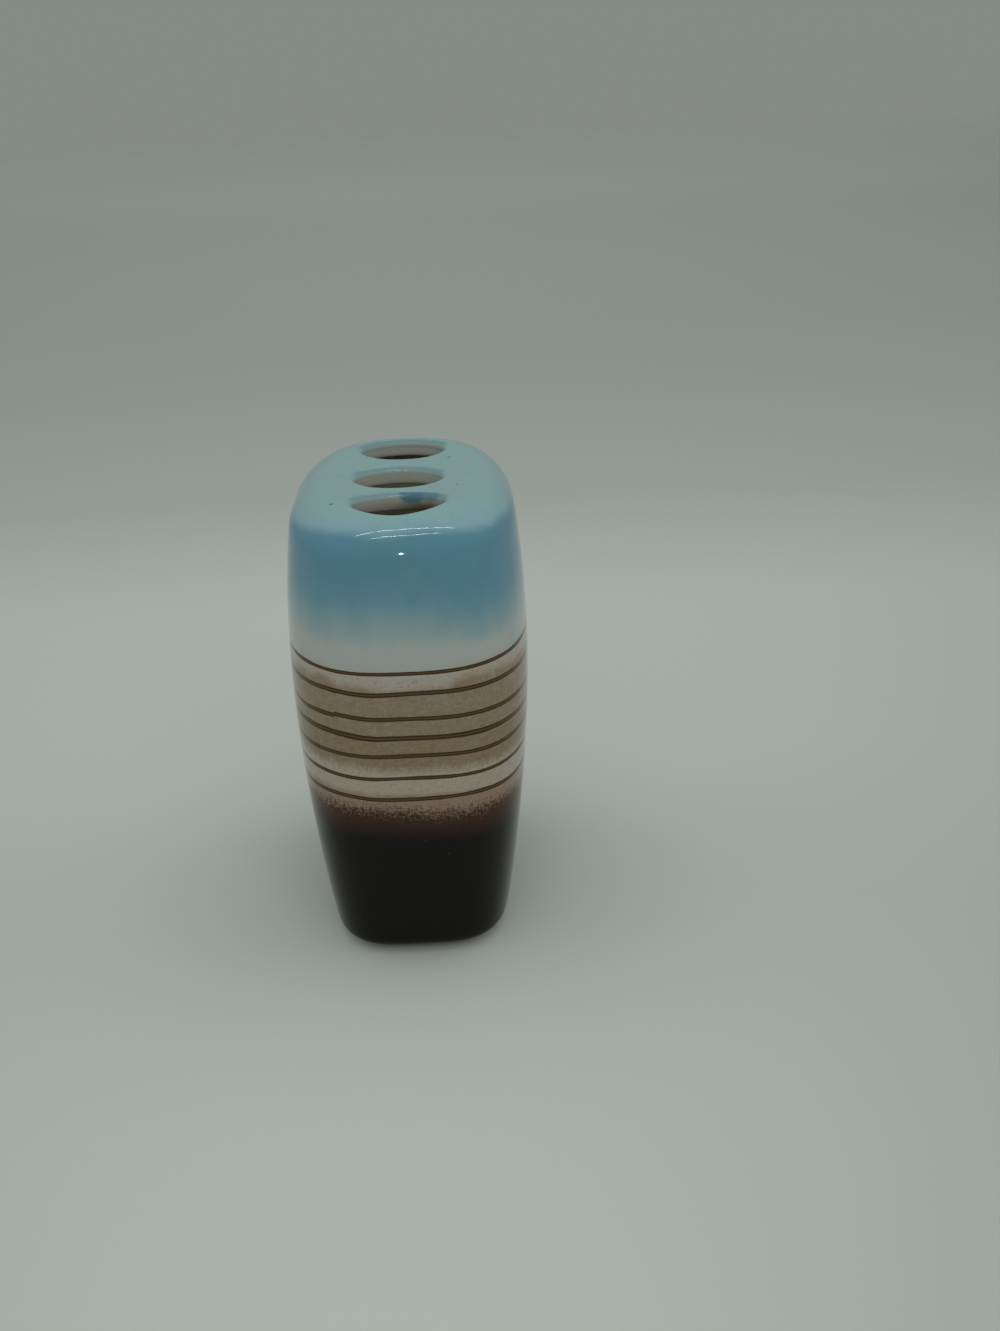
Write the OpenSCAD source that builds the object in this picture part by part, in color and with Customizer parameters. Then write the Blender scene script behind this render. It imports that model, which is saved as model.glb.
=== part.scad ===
// Glazed ceramic toothbrush holder: a slip-cast hollow body with a row of brush slots in its deck.
// A rubber stopper closes the drain bore in its floor, and it stands on four self-adhesive pads.
// Lengths are millimetres. Z is up, and the origin is under the middle of the body, on the table.
// The row of slots runs along Y, and the front of the body faces -Y.

/* [Body] */
// Height of the holder from the table to the crest of its shoulder
overall_h = 105; // [95:1:125]
// Width of the body at its belly
body_w = 55.6; // [52:0.2:66]
// Depth of the body at its belly, along the row of slots
body_d = 92; // [90:0.2:110]
// Squareness of the plan outline at the deck, where 2 is an ellipse and more is squarer
deck_squareness = 2.8; // [2.5:0.1:4]
// Squareness of the plan outline at the foot
foot_squareness = 3.8; // [2.5:0.1:5]
// Thickness of the cast side wall
wall_t = 3.6; // [3:0.1:4.5]
// Thickness of the deck around the slots
deck_t = 4; // [3:0.1:6]
// Radius of the shoulder between the side and the deck
shoulder_r = 8.5; // [6:0.1:10]
// Radius of the heel between the side and the foot ring
heel_r = 3; // [1.5:0.1:4]
// Sag of the deck's middle below the crest of the shoulder
deck_sag = 1; // [0.4:0.1:3]
// Radius where the chamber's side meets its floor
chamber_r = 6; // [4:0.1:9]

/* [Brush slots] */
// Number of slots in the row
slot_count = 3; // [1:1:3]
// Opening of a slot across the body
slot_w = 20; // [14:0.2:24]
// Opening of a slot along the row
slot_d = 17.8; // [12:0.2:20]
// Distance between the middles of neighbouring slots
slot_pitch = 26.3; // [23:0.1:28]
// Distance of the row's middle in front of the body's middle
row_forward = 1.9; // [0:0.1:3]
// Radius of the rolled lip around a slot
lip_r = 1.4; // [0.6:0.1:2]

/* [Foot] */
// Share of the foot's half width that the dry foot ring takes, which carries the pads
foot_ring_share = 0.422; // [0.4:0.002:0.45]
// Depth of the recess inside the foot ring
recess_h = 2.4; // [2:0.1:3.5]
// Thickness of the floor above the recess
floor_t = 4; // [3:0.1:6]

/* [Drain stopper] */
// Gap between the stopper's flange and the foot ring, which sets how wide the flange is
flange_gap = 1; // [0.6:0.1:2]
// Overhang of the stopper's flange beyond the drain bore
flange_overhang = 2; // [1.4:0.1:2.6]
// Radial clearance between the stopper's neck and the bore
neck_clearance = 0.05; // [0.02:0.01:0.1]
// Thickness of the stopper's flange and pull tab
flange_t = 1.6; // [1.2:0.1:1.9]
// Length of the tapered nose above the floor
nose_h = 3; // [2:0.1:5]
// Narrowing of the nose's radius over its length
nose_taper = 1.1; // [0.5:0.1:2]
// Thickness of rubber left around the hollow under the stopper
core_wall = 3.45; // [2.5:0.05:4]
// Thickness of rubber left above that hollow
crown_t = 2.4; // [1.5:0.1:4]
// Reach of the pull tab beyond the flange
tab_reach = 6; // [4:0.1:10]
// Width of the pull tab
tab_w = 8; // [6:0.1:10]

/* [Pads] */
// Diameter of a self-adhesive pad
pad_d = 6.4; // [5:0.1:6.8]
// Thickness of a pad
pad_t = 1; // [0.8:0.1:1.6]
// Radius of the rounded lower edge of a pad
pad_edge_r = 0.5; // [0.3:0.1:0.7]
// Direction of the pads from the middle of the foot, measured from X
pad_angle = 54; // [48:1:70]

/* [Smoothness] */
// Steps around the outside of the body
around_steps = 72; // [48:8:96]
// Steps up the side of the body
side_steps = 16; // [10:1:24]
// Steps over each rounded edge of the body
round_steps = 6; // [4:1:8]

/* [Hidden] */

// Length by which a cut runs past the face it opens
overrun = 1;
// Half width of the side at even steps of height, as shares of the belly's half width
side_shares = [0.747, 0.899, 0.969, 1.06, 1.017, 0.887];
// Power by which the foot's squareness fades out over the height
foot_fade = 2;
// Sizes of the deck's rings, as shares of the crest, from the crest inwards
deck_shares = [0.93, 0.84, 0.72, 0.56, 0.38, 0.2];
// Steps around the chamber and around a slot
chamber_steps = around_steps * 2 / 3;
slot_steps = around_steps / 2;
// Last angle of a slot's lip, short of level so that its rim crosses the deck cleanly
lip_angle = 78;
$fn = 64;

foot_z = pad_t;
crest_z = overall_h;
body_h = crest_z - foot_z;
recess_z = foot_z + recess_h;
floor_z = recess_z + floor_t;
under_deck_z = crest_z - deck_t;
chamber_shoulder_r = shoulder_r - wall_t;

// Point at share t of the curve that the control values in c steer
function bezier(c, t) =
    len(c) == 1 ? c[0] : bezier([for (i = [1 : len(c) - 1]) c[i - 1] * (1 - t) + c[i] * t], t);

// Half width and half depth of the side at height z, before its rounded edges
function side_half_w(z) = body_w / 2 * bezier(side_shares, (z - foot_z) / body_h);
function side_half_d(z) = body_d / 2 - body_w / 2 + side_half_w(z);

crest_half_w = side_half_w(crest_z) - shoulder_r;
crest_half_d = side_half_d(crest_z) - shoulder_r;

// Half sizes of the foot inside its heel, then of the recess inside the foot ring
foot_half_w = side_half_w(foot_z) - heel_r;
foot_half_d = side_half_d(foot_z) - heel_r;
foot_ring_w = foot_half_w * foot_ring_share;
recess_half_w = foot_half_w - foot_ring_w;
recess_half_d = foot_half_d - foot_ring_w;

// Radii of the stopper's flange, which fills the recess across, and of the drain bore under it
flange_r = recess_half_w - flange_gap;
bore_r = flange_r - flange_overhang;

// Squareness of the plan outline at height z
function squareness(z) = deck_squareness
    + (foot_squareness - deck_squareness) * pow(min(1, (crest_z - z) / body_h), foot_fade);

// How far out a plan outline of squareness n lies in direction a, on a unit square
function plan_reach(a, n) = pow(pow(abs(cos(a)), n) + pow(abs(sin(a)), n), -1 / n);

// One level ring of the plan outline, with half sizes w and d, at height z
function plan_ring(w, d, z, steps) =
    [for (i = [0 : steps - 1]) let (a = 360 * i / steps, r = plan_reach(a, squareness(z)))
        [w * r * cos(a), d * r * sin(a), z]];

// Share of the crest's size that the point x, y of the deck lies at
function deck_share(x, y) = let (n = deck_squareness)
    pow(pow(abs(x) / crest_half_w, n) + pow(abs(y) / crest_half_d, n), 1 / n);

// Sag of the deck below the crest at share s, which fades out level at the crest
function deck_drop(s) = deck_sag * pow(1 - pow(min(s, 1), 4), 2);

// Fall of the shoulder below the crest at distance e outside the crest
function shoulder_drop(e) = shoulder_r - sqrt(max(0, pow(shoulder_r, 2) - pow(e, 2)));

// Height of the deck or shoulder at x, y
function top_z(x, y) = let (s = deck_share(x, y), e = norm([x, y]) * max(0, 1 - 1 / max(s, 1)))
    crest_z - deck_drop(s) - shoulder_drop(min(e, shoulder_r));

// Solid skinned over rings of equal length, from the lowest ring to the highest
module skin(rings) {
    steps = len(rings[0]);
    last = len(rings) - 1;
    points = [for (ring = rings) for (p = ring) p];
    bottom = [[for (i = [0 : steps - 1]) i]];
    top = [[for (i = [steps - 1 : -1 : 0]) last * steps + i]];
    side = [for (k = [0 : last - 1]) for (i = [0 : steps - 1]) let (
        a = k * steps + i,
        b = k * steps + (i + 1) % steps,
        c = b + steps,
        d = a + steps
    ) each [[a, d, c], [a, c, b]]];
    polyhedron(points, concat(bottom, side, top));
}

// Outside of the cast body: heel, side, shoulder and sagging deck
module outer_form() {
    heel = [for (i = [0 : round_steps]) let (
        t = 90 * i / round_steps,
        z = foot_z + heel_r * (1 - cos(t)),
        inset = heel_r * (1 - sin(t))
    ) plan_ring(side_half_w(z) - inset, side_half_d(z) - inset, z, around_steps)];
    side_low = foot_z + heel_r;
    side_high = crest_z - shoulder_r;
    side = [for (i = [1 : side_steps - 1]) let (
        z = side_low + (side_high - side_low) * i / side_steps
    ) plan_ring(side_half_w(z), side_half_d(z), z, around_steps)];
    shoulder = [for (i = [0 : round_steps]) let (
        t = 90 * i / round_steps,
        z = side_high + shoulder_r * sin(t),
        inset = shoulder_r * (1 - cos(t))
    ) plan_ring(side_half_w(z) - inset, side_half_d(z) - inset, z, around_steps)];
    deck = [for (s = deck_shares)
        plan_ring(crest_half_w * s, crest_half_d * s, crest_z - deck_drop(s), around_steps)];
    skin(concat(heel, side, shoulder, deck));
}

// Hollow chamber, one wall inside the outside, with a rounded floor and ceiling
module chamber() {
    bottom = [for (i = [0 : round_steps]) let (
        t = 90 * i / round_steps,
        z = floor_z + chamber_r * (1 - cos(t)),
        inset = wall_t + chamber_r * (1 - sin(t))
    ) plan_ring(side_half_w(z) - inset, side_half_d(z) - inset, z, chamber_steps)];
    side_low = floor_z + chamber_r;
    side_high = under_deck_z - chamber_shoulder_r;
    side = [for (i = [1 : side_steps - 1]) let (
        z = side_low + (side_high - side_low) * i / side_steps
    ) plan_ring(side_half_w(z) - wall_t, side_half_d(z) - wall_t, z, chamber_steps)];
    ceiling = [for (i = [0 : round_steps]) let (
        t = 90 * i / round_steps,
        z = side_high + chamber_shoulder_r * sin(t),
        inset = wall_t + chamber_shoulder_r * (1 - cos(t))
    ) plan_ring(side_half_w(z) - inset, side_half_d(z) - inset, z, chamber_steps)];
    under_deck = [for (s = deck_shares) let (
        w = side_half_w(under_deck_z) - wall_t - chamber_shoulder_r,
        d = side_half_d(under_deck_z) - wall_t - chamber_shoulder_r
    ) plan_ring(w * s, d * s, under_deck_z - deck_drop(s), chamber_steps)];
    skin(concat(bottom, side, ceiling, under_deck));
}

// One ring of a slot's wall, grown by some length and laid at some depth below the deck's surface
function slot_ring(y, grow, depth) =
    [for (i = [0 : slot_steps - 1]) let (
        a = 360 * i / slot_steps,
        px = (slot_w / 2 + grow) * cos(a),
        py = y + (slot_d / 2 + grow) * sin(a)
    ) [px, py, top_z(px, py) - depth]];

// Level end ring of a slot's cut
function slot_end(y, grow, z) =
    [for (p = slot_ring(y, grow, 0)) [p.x, p.y, z]];

// Cut for one slot: straight through the deck, with a rolled lip that follows the deck's surface
module slot_cut(y) {
    low_z = under_deck_z - deck_sag - chamber_shoulder_r - overrun;
    lip = [for (i = [0 : round_steps]) let (
        t = lip_angle * i / round_steps
    ) slot_ring(y, lip_r * (1 - cos(t)), lip_r * (1 - sin(t)))];
    skin(concat(
        [slot_end(y, 0, low_z)],
        lip,
        [slot_end(y, lip_r * (1 - cos(lip_angle)), crest_z + overrun)]
    ));
}

// Recess inside the foot ring
module foot_recess() {
    skin([
        plan_ring(recess_half_w, recess_half_d, foot_z - overrun, chamber_steps),
        plan_ring(recess_half_w, recess_half_d, recess_z, chamber_steps)
    ]);
}

// Cuts for the whole row of slots
module slot_row() {
    for (i = [0 : slot_count - 1])
        let (y = (i - (slot_count - 1) / 2) * slot_pitch - row_forward)
            slot_cut(y);
}

module ceramic_body() {
    color([0.42, 0.62, 0.66])
    difference() {
        outer_form();
        chamber();
        slot_row();
        foot_recess();
        translate([0, 0, recess_z - overrun])
            cylinder(r = bore_r, h = floor_t + 2 * overrun);
    }
}

// Pull tab of the stopper: a flat tongue with a round end, reaching towards the front
module pull_tab(low_z) {
    reach = flange_r + tab_reach - tab_w / 2;
    translate([0, 0, low_z]) {
        translate([-tab_w / 2, -reach, 0])
            cube([tab_w, reach, flange_t]);
        translate([0, -reach, 0])
            cylinder(d = tab_w, h = flange_t);
    }
}

module drain_stopper() {
    neck_r = bore_r - neck_clearance;
    low_z = recess_z - flange_t;
    tip_z = floor_z + nose_h;
    color([0.62, 0.62, 0.6])
    difference() {
        union() {
            rotate_extrude()
                polygon([
                    [0, low_z],
                    [flange_r, low_z],
                    [flange_r, recess_z],
                    [neck_r, recess_z],
                    [neck_r, floor_z],
                    [neck_r - nose_taper, tip_z],
                    [0, tip_z]
                ]);
            pull_tab(low_z);
        }
        translate([0, 0, low_z - overrun])
            cylinder(r = neck_r - core_wall, h = tip_z - crown_t - low_z + overrun);
    }
}

// One self-adhesive pad on the middle line of the foot ring, in the quarter that side_x and side_y name
module pad(side_x, side_y) {
    w = recess_half_w + foot_ring_w / 2;
    d = recess_half_d + foot_ring_w / 2;
    r = plan_reach(pad_angle, foot_squareness);
    color([0.8, 0.82, 0.82])
    translate([side_x * w * r * cos(pad_angle), side_y * d * r * sin(pad_angle), 0])
        rotate_extrude()
            union() {
                square([pad_d / 2 - pad_edge_r, pad_t]);
                translate([0, pad_edge_r])
                    square([pad_d / 2, pad_t - pad_edge_r]);
                translate([pad_d / 2 - pad_edge_r, pad_edge_r])
                    circle(r = pad_edge_r);
            }
}

module pad_front_left() { pad(-1, -1); }
module pad_front_right() { pad(1, -1); }
module pad_rear_left() { pad(-1, 1); }
module pad_rear_right() { pad(1, 1); }

ceramic_body();
drain_stopper();
pad_front_left();
pad_front_right();
pad_rear_left();
pad_rear_right();
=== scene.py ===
"""Dresses the packed toothbrush holder: cast and glazed body, stopper, pads, stage, light, camera.

Lengths are metres in the frame of the CAD model: Z is up, the origin is on the table under the
middle of the body, and the row of brush slots runs along Y with the body's front towards -Y. The
patterns of the materials are placed in millimetres of the same frame.
"""

import math
from functools import reduce

import bmesh
import bpy
from bpy.props import FloatProperty, FloatVectorProperty, PointerProperty
from mathutils import Matrix, Vector


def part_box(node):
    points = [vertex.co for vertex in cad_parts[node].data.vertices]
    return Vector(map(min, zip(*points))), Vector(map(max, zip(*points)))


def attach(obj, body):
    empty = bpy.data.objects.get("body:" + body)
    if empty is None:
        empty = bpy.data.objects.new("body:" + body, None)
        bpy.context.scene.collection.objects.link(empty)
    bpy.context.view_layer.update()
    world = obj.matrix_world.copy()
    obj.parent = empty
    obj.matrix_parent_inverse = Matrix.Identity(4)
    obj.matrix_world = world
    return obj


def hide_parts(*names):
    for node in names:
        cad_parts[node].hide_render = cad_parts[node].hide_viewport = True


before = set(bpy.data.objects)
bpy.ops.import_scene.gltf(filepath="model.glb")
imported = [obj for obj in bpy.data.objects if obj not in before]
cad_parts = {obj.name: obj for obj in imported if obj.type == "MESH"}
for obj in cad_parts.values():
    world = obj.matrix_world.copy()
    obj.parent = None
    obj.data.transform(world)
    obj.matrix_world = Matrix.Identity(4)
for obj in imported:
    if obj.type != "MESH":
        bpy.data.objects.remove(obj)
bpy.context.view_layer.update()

bl_info = {
    "name": "Banded Toothbrush Holder",
    "version": (1, 0, 0),
    "blender": (4, 5, 0),
    "location": "View3D > Sidebar > Holder",
    "description": "Builds a glazed ceramic toothbrush holder around its CAD frame",
    "category": "Add Mesh",
}

MM = 0.001
# Points nearer to each other than this are one
TOUCH = 0.001 * MM
QUARTER = math.pi / 2


# Properties


def amount(name, description, default, **more):
    return FloatProperty(name=name, description=description, default=default, **more)


def length(name, description, millimetres):
    """A length, given in millimetres and kept in metres."""
    more = {"min": 0.0, "precision": 5, "unit": "LENGTH", "subtype": "DISTANCE"}
    return amount(name, description, millimetres * MM, **more)


def vector(name, description, default, **more):
    size = len(default)
    return FloatVectorProperty(
        name=name, description=description, default=default, size=size, **more
    )


def lengths(name, description, *millimetres):
    """A row of lengths, given in millimetres and kept in metres."""
    default = [value * MM for value in millimetres]
    return vector(name, description, default, unit="LENGTH", subtype="TRANSLATION")


def colour(name, description, *display):
    """A linear colour, given in display values from 0 to 255."""
    values = [c / 255 for c in display]
    default = [c / 12.92 if c <= 0.04045 else ((c + 0.055) / 1.055) ** 2.4 for c in values]
    return vector(name, description, default, min=0.0, max=1.0, subtype="COLOR")


class BodySizes(bpy.types.PropertyGroup):
    """Sizes of the cast body."""

    height: length("Height", "Table to the crest of the shoulder", 105)
    width: length("Width", "Width at the belly", 55.6)
    depth: length("Depth", "Depth at the belly, along the row of slots", 92)
    squareness: amount("Squareness", "Of the plan at the deck; 2 is an ellipse", 2.8, min=2.0)
    foot_squareness: amount("Foot squareness", "Squareness of the plan at the foot", 3.8, min=2.0)
    foot: length("Foot", "Height of the foot above the table, on its pads", 1)
    wall: length("Wall", "Thickness of the side wall", 3.6)
    deck: length("Deck", "Thickness of the deck", 4)
    shoulder: length("Shoulder", "Radius between side and deck", 8.5)
    heel: length("Heel", "Radius between side and foot ring", 3)
    sag: length("Sag", "Sag of the deck below the crest", 1)
    chamber_corner: length("Chamber corner", "Radius between the chamber's side and floor", 6)
    ring: length("Foot ring", "Width of the dry foot ring", 7.497)
    recess: length("Recess", "Depth of the recess inside the foot ring", 2.4)
    floor: length("Floor", "Thickness of the floor above the recess", 4)
    bore: length("Drain bore", "Radius of the drain bore", 7.269)


class SlotSizes(bpy.types.PropertyGroup):
    """Sizes of the brush slots."""

    width: length("Width", "Opening across the body", 20)
    depth: length("Depth", "Opening along the row", 17.8)
    pitch: length("Pitch", "Distance between neighbouring slots", 26.3)
    forward: length("Forward", "Distance of the row's middle in front of the body's", 1.9)
    lip: length("Lip", "Radius of the rolled lip on the deck", 1.4)
    under_lip: length("Lower lip", "Radius of the slot's edge under the deck", 0.7)
    waver: length("Waver", "How far a hand-cut slot strays from a true oval", 0.14)
    aside: lengths("Aside", "Each slot's place to the right, front first", -0.23, -0.71, -0.09)
    behind: lengths("Behind", "Each slot's distance behind its even place", 0, -1.1, 0)
    deeper: lengths("Deeper", "How much longer each slot is along the row", 0, 1.0, -1.6)


class StopperSizes(bpy.types.PropertyGroup):
    """Sizes of the rubber drain stopper."""

    overhang: length("Overhang", "Overhang of the flange beyond the bore", 2)
    clearance: length("Clearance", "Radial gap between neck and bore", 0.05)
    thickness: length("Thickness", "Thickness of flange and pull tab", 1.6)
    nose: length("Nose", "Length of the tapered nose", 3)
    taper: length("Taper", "Narrowing of the nose's radius", 1.1)
    core_wall: length("Core wall", "Rubber left around the hollow", 3.45)
    crown: length("Crown", "Rubber left above the hollow", 2.4)
    tab_reach: length("Tab reach", "Reach of the pull tab beyond the flange", 6)
    tab_width: length("Tab width", "Width of the pull tab", 8)
    groove: length("Groove", "Width of a grip groove across the tab", 0.7)
    groove_pitch: length("Groove pitch", "Distance between the grip grooves", 1.35)


class GlazeColours(bpy.types.PropertyGroup):
    """Colours of the sprayed, banded and clear glazes."""

    deck: colour("Deck", "Pale aqua of the deck", 116, 148, 149)
    shoulder: colour("Shoulder", "Aqua on the turn of the shoulder", 114, 147, 153)
    spray: colour("Spray", "Blue sprayed round the upper side", 79, 120, 136)
    spray_low: colour("Low spray", "Blue where it thins", 88, 126, 138)
    spray_green: colour("Green spray", "Greener clouds in the blue", 76, 120, 127)
    haze: colour("Haze", "Blue haze over the pale glaze", 118, 140, 142)
    pale: colour("Pale", "Bare pale glaze between blue and tan", 144, 151, 147)
    thin_wash: colour("Thin wash", "Tan where it is brushed thin", 146, 137, 123)
    wash: colour("Wash", "Tan brushed between the upper lines", 120, 106, 87)
    deep_wash: colour("Deep wash", "Tan brushed between the lower lines", 116, 102, 80)
    line: colour("Line", "Edge of a banded brown line", 44, 28, 13)
    line_core: colour("Line core", "Middle of a banded brown line", 76, 57, 34)
    fringe: colour("Fringe", "Thin brown under the lowest line", 127, 108, 92)
    rust: colour("Rust", "Brown that breaks up in specks above the base", 49, 30, 18)
    base: colour("Base", "Near-black brown of the base", 10, 6, 4)
    inside: colour("Inside", "Clear glaze over the clay on the slots' walls", 146, 148, 138)
    inside_deep: colour("Inside, deep", "Clear glaze inside the chamber", 164, 166, 128)
    pool: colour("Pool", "Aqua that pools on a slot's far lip", 96, 126, 130)
    # This blue also paints the shade beside the drop on the front slot's far lip
    drop: colour("Drop", "Blue drop that runs over the front slot's far lip", 62, 101, 116)
    # Painted shade: a thin dark line in the depth just inside a slot's near lip
    near_lip_shade: colour("Ring line", "Thin dark line inside a slot's near lip", 56, 62, 48)
    clay: colour("Bare clay", "Wiped foot, without glaze", 176, 168, 150)
    speck: colour("Speck", "Iron specks and pinholes", 62, 76, 76)


class RubberColours(bpy.types.PropertyGroup):
    """Colours of the stopper and the pads."""

    stopper: colour("Stopper", "Rubber of the stopper", 150, 148, 142)
    stopper_worn: colour("Stopper, worn", "Paler patches of the stopper", 176, 174, 168)
    pad: colour("Pad", "Rubber of the pads", 178, 182, 180)
    pad_worn: colour("Pad, worn", "Dusty patches of the pads", 160, 158, 148)


class BandSizes(bpy.types.PropertyGroup):
    """Heights of the painted bands above the table."""

    lines: lengths("Lines", "The seven lines, top first", 71.45, 66.95, 61, 56.7, 52.3, 46.9, 41.9)
    line_width: length("Line width", "Width of a line", 0.92)
    spray_top: length("Spray top", "Height where the blue begins under the deck", 101.6)


class StageSettings(bpy.types.PropertyGroup):
    """Floor, backdrop, light and camera."""

    # These floor colours are painted light and shade, graded outwards from the holder
    near: colour("Near", "Colour of the floor round the holder", 166, 171, 166)
    middle: colour("Middle", "Colour of the floor behind the holder", 149, 154, 149)
    far: colour("Far", "Colour of the floor farther behind", 143, 148, 144)
    farther: colour("Farther", "Colour of the floor well behind", 150, 155, 151)
    farthest: colour("Farthest", "Colour of the floor out to its edge", 161, 166, 162)
    # Painted shade at the sides of the floor
    painted_side_shade: colour("Dim", "Colour that the floor falls off to at the sides", 120, 125, 122)
    around: colour("Around", "Colour that the camera sees beyond the floor", 133, 138, 134)
    floor_reach: length("Floor reach", "Radius of the floor sheet", 9000)
    strip_power: amount("Strips", "Power of each mirrored strip", 5.5, unit="POWER")
    soft_power: amount("Soft boxes", "Power of the upper soft box", 7.5, unit="POWER")
    sky: amount("Sky", "Strength of the even surrounding light", 0.7, min=0.0)
    lens: amount("Lens", "Focal length in millimetres", 42.46, min=1.0)


# Shape of the body


# What steers the side's curve from the foot up, as shares of the belly's half width
SIDE_SHARES = (0.747, 0.899, 0.969, 1.06, 1.017, 0.887)
# Steps of a line between two slots, of the edge beside the middle slot and of the edge round an end
LINE_STEPS, ARC_STEPS = 26, 20
END_STEPS = LINE_STEPS + 2 * ARC_STEPS
# Steps in which an arc's length is measured
FINE_STEPS = 400
# Halvings that find where a point lies on the rounded corner
HALVINGS = 24


def bezier(values, t):
    """Point at share t of the curve that the control values steer."""
    while len(values) > 1:
        values = [a + (b - a) * t for a, b in zip(values, values[1:])]
    return values[0]


class Skin:
    """Outer or inner skin of the cast body: a side, a rounded corner and a sagging top.

    The top's own rings end and those around the body begin at edge_turn degrees of the corner.
    """

    def __init__(self, body, inset, top, corner, edge_turn):
        self.body, self.inset, self.top, self.corner = body, inset, top, corner
        self.edge_turn = math.radians(edge_turn)
        self.crest = self.turned(QUARTER)
        self.edge = self.turned(self.edge_turn)

    def squareness(self, z):
        """Exponent of the plan outline, which is squarer towards the foot."""
        body = self.body
        above = min(max((z - body.foot) / (body.height - body.foot), 0), 1)
        return body.squareness + (body.foot_squareness - body.squareness) * (1 - above) ** 2

    def side(self, z, inset=0.0):
        """Half width and half depth at height z."""
        body = self.body
        share = bezier(SIDE_SHARES, (z - body.foot) / (body.height - body.foot))
        width = body.width / 2 * share - self.inset - inset
        return width, width + (body.depth - body.width) / 2

    def turned(self, turn):
        """Half sizes and height on the corner, from 0 at the side to a quarter turn at the top."""
        z = self.top - self.corner * (1 - math.sin(turn))
        return (*self.side(z, self.corner * (1 - math.cos(turn))), z)

    def share(self, x, y, width, depth, z):
        """Share of the outline's size at height z at which the point x, y lies."""
        n = self.squareness(z)
        return ((abs(x) / width) ** n + (abs(y) / depth) ** n) ** (1 / n)

    def place(self, width, depth, z, bearing):
        """Point x, y of the outline at height z, at a bearing on the squared circle."""
        n = self.squareness(z)
        c, s = math.cos(bearing), math.sin(bearing)
        reach = (abs(c) ** n + abs(s) ** n) ** (-1 / n)
        return width * reach * c, depth * reach * s

    def height_at(self, x, y):
        """Height of the top or its rounded corner at x, y."""
        share = self.share(x, y, *self.crest)
        if share <= 1:
            return self.top - self.body.sag * (1 - share**4) ** 2
        low, high = 0.0, QUARTER
        for _ in range(HALVINGS):
            middle = (low + high) / 2
            if self.share(x, y, *self.turned(middle)) > 1:
                high = middle
            else:
                low = middle
        return self.turned(low)[2]


def outer_skin(body):
    """The outside, a fiftieth of a millimetre within the CAD body."""
    return Skin(body, 0.02 * MM, body.height, body.shoulder, 52)


def chamber_skin(body):
    return Skin(body, body.wall, body.height - body.deck, body.shoulder - body.wall, 30)


def cut_ovals(slots):
    """Middle x, middle y, half width and half depth of each slot as it is cut."""
    ovals = []
    for i in range(3):
        middle = (i - 1) * slots.pitch - slots.forward + slots.behind[i]
        half_depth = (slots.depth + slots.deeper[i]) / 2
        ovals.append((slots.aside[i], middle, slots.width / 2, half_depth))
    return ovals


def arc_bearings(skin, start, end, steps):
    """Bearings from start, before end, that divide the edge ring's outline into even lengths."""
    fine = [start + (end - start) * i / FINE_STEPS for i in range(FINE_STEPS + 1)]
    points = [skin.place(*skin.edge, a) for a in fine]
    run = [0.0]
    for a, b in zip(points, points[1:]):
        run.append(run[-1] + math.dist(a, b))
    bearings, i = [start], 0
    for step in range(1, steps):
        goal = run[-1] * step / steps
        while run[i + 1] < goal:
            i += 1
        part = (goal - run[i]) / (run[i + 1] - run[i])
        bearings.append(fine[i] + (fine[i + 1] - fine[i]) * part)
    return bearings


def edge_bearings(skin, slots):
    """Bearings of the edge ring's points, once round from the front right corner.

    The corners are where the lines between the slots meet the ring.
    """
    width, depth, z = skin.edge
    n = skin.squareness(z)
    right = []
    for y in (-slots.pitch / 2 - slots.forward, slots.pitch / 2 - slots.forward):
        x = width * (1 - (abs(y) / depth) ** n) ** (1 / n)
        right.append(math.atan2(y / depth, x / width))
    front, rear = right
    corners = (front, rear, math.pi - rear, math.pi - front, front + 2 * math.pi)
    stretches = zip(corners, corners[1:], (ARC_STEPS, END_STEPS, ARC_STEPS, END_STEPS))
    return [bearing for stretch in stretches for bearing in arc_bearings(skin, *stretch)]


def cell_border(skin, slots, row):
    """Border of one slot's part of the deck, anticlockwise: half-way lines, then edge ring."""
    ring = [skin.place(*skin.edge, a) for a in edge_bearings(skin, slots)]
    rear_right, rear_left = ARC_STEPS, ARC_STEPS + END_STEPS
    front_left = rear_left + ARC_STEPS

    def line(start, end):
        (ax, ay), (bx, by) = ring[start], ring[end]
        shares = [i / LINE_STEPS for i in range(LINE_STEPS)]
        return [(ax + (bx - ax) * share, ay + (by - ay) * share) for share in shares]

    if row == 0:
        return line(0, front_left) + ring[front_left:]
    if row == 1:
        right, left = ring[:rear_right], ring[rear_left:front_left]
        return right + line(rear_right, rear_left) + left + line(front_left, 0)
    return line(rear_left, rear_right) + ring[rear_right:rear_left]


# Working on a piece as by hand


def take(*pieces):
    """Object mode with these pieces selected, the first of them active, and nothing else."""
    if bpy.context.object and bpy.context.object.mode != "OBJECT":
        bpy.ops.object.mode_set(mode="OBJECT")
    bpy.ops.object.select_all(action="DESELECT")
    for piece in pieces:
        piece.select_set(True)
        bpy.context.view_layer.objects.active = pieces[0]


def edit(piece):
    """Edit mode on one piece, with nothing selected in it."""
    take(piece)
    bpy.ops.object.mode_set(mode="EDIT")
    bpy.ops.mesh.select_mode(type="VERT")
    bpy.ops.mesh.select_all(action="DESELECT")


def settle():
    """Puts the selected piece's place into its mesh."""
    bpy.ops.object.transform_apply(location=True, rotation=True, scale=True)


def disc(name, points, radius, height):
    """A flat round face at a height, left in edit mode."""
    take()
    bpy.ops.mesh.primitive_circle_add(
        vertices=points, radius=radius, fill_type="NGON", location=(0, 0, height)
    )
    piece = bpy.context.object
    piece.name = name
    settle()
    edit(piece)
    return piece


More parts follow.
